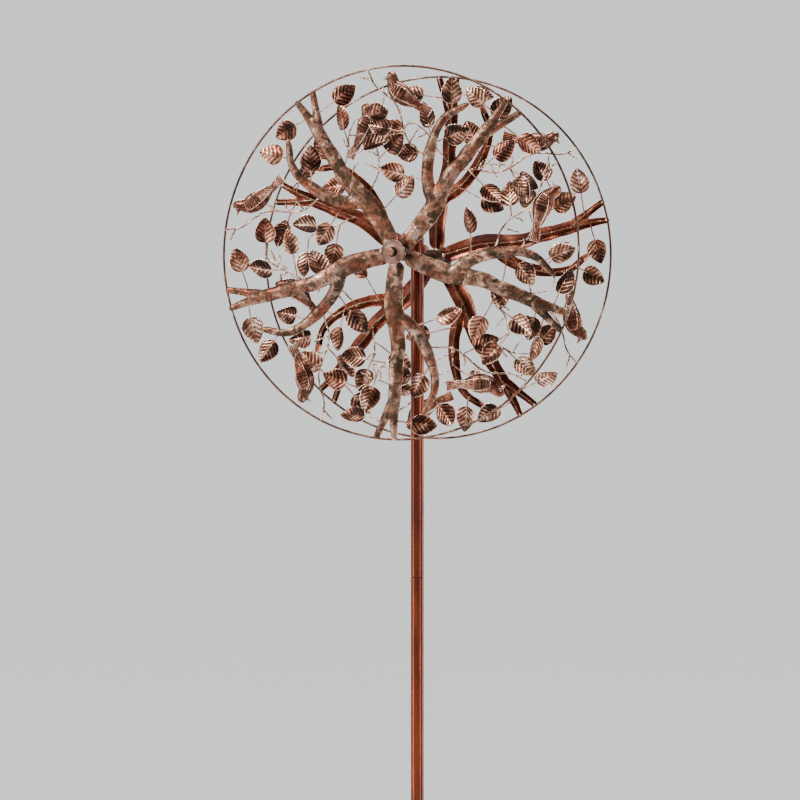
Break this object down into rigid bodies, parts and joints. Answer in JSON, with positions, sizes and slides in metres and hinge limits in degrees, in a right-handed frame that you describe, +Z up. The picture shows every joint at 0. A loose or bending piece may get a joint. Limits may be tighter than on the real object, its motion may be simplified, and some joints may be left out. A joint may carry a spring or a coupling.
{
  "type": "kinetic wind sculpture",
  "caption": "Garden wind sculpture: two ringed rotors of leafy branches with perched birds, back to back on one axle, spinning freely on a pole with a ground stake.",
  "frame": {"origin": "on the pole's axis at ground level, the underside of the stake's cross bar", "axes": "+Z up along the pole, -Y the way the front rotor faces, the axle lies along Y, +X to the right seen from the front"},
  "size_m": [0.6128, 0.2986, 2.137],
  "materials": {
    "bark": "sheet steel with a mottled bronze and copper patina, dark grey-green blotches, semi-matte",
    "leaf": "dark bronze stamped leaves and wire, with the ridges rubbed to bright pinkish copper, satin",
    "bird": "copper-brown embossed feathers with pinkish rubbed highlights, satin",
    "wire": "dark bronze round wire, satin",
    "disc": "matte pinkish bronze with a fine grain",
    "hub": "dark maroon bronze, satin",
    "pole": "deep red-brown copper enamel, glossy",
    "steel": "plain machined steel, slightly yellowed",
    "stake": "dark bronze powder coat, matte"
  },
  "bodies": {
    "stand": {"stake_strap_lower": "stake", "stake_strap_upper": "stake", "stake_socket": "stake", "pole_lower": "pole", "pole_middle": "pole", "pole_upper": "pole", "pole_cap": "disc", "axle": "steel", "front_cap_nut": "hub", "front_thrust_washer": "steel", "front_axle_sleeve": "steel", "rear_cap_nut": "hub", "rear_thrust_washer": "steel", "rear_axle_sleeve": "steel"},
    "front_rotor": {"front_ring": "wire", "front_hub_barrel": "hub", "front_face_disc": "disc", "front_outer_bearing": "steel", "front_inner_bearing": "steel", "front_branch_sheet_1": "bark", "front_leaf_sprig_1": "leaf", "front_bird_1": "bird", "front_branch_sheet_2": "bark", "front_leaf_sprig_2": "leaf", "front_bird_2": "bird", "front_branch_sheet_3": "bark", "front_leaf_sprig_3": "leaf", "front_bird_3": "bird", "front_branch_sheet_4": "bark", "front_leaf_sprig_4": "leaf", "front_bird_4": "bird", "front_branch_sheet_5": "bark", "front_leaf_sprig_5": "leaf", "front_bird_5": "bird"},
    "rear_rotor": {"rear_ring": "wire", "rear_hub_barrel": "hub", "rear_face_disc": "disc", "rear_outer_bearing": "steel", "rear_inner_bearing": "steel", "rear_branch_sheet_1": "bark", "rear_leaf_sprig_1": "leaf", "rear_bird_1": "bird", "rear_branch_sheet_2": "bark", "rear_leaf_sprig_2": "leaf", "rear_bird_2": "bird", "rear_branch_sheet_3": "bark", "rear_leaf_sprig_3": "leaf", "rear_bird_3": "bird", "rear_branch_sheet_4": "bark", "rear_leaf_sprig_4": "leaf", "rear_bird_4": "bird", "rear_branch_sheet_5": "bark", "rear_leaf_sprig_5": "leaf", "rear_bird_5": "bird"}
  },
  "joints": [
    {"name": "front_rotor_spin", "type": "hinge", "parent": "stand", "child": "front_rotor", "pos_m": [0, -0.1005, 1.6], "axis": [0, 1, 0], "continuous": true},
    {"name": "rear_rotor_spin", "type": "hinge", "parent": "stand", "child": "rear_rotor", "pos_m": [0, 0.1005, 1.6], "axis": [0, 1, 0], "continuous": true}
  ]
}
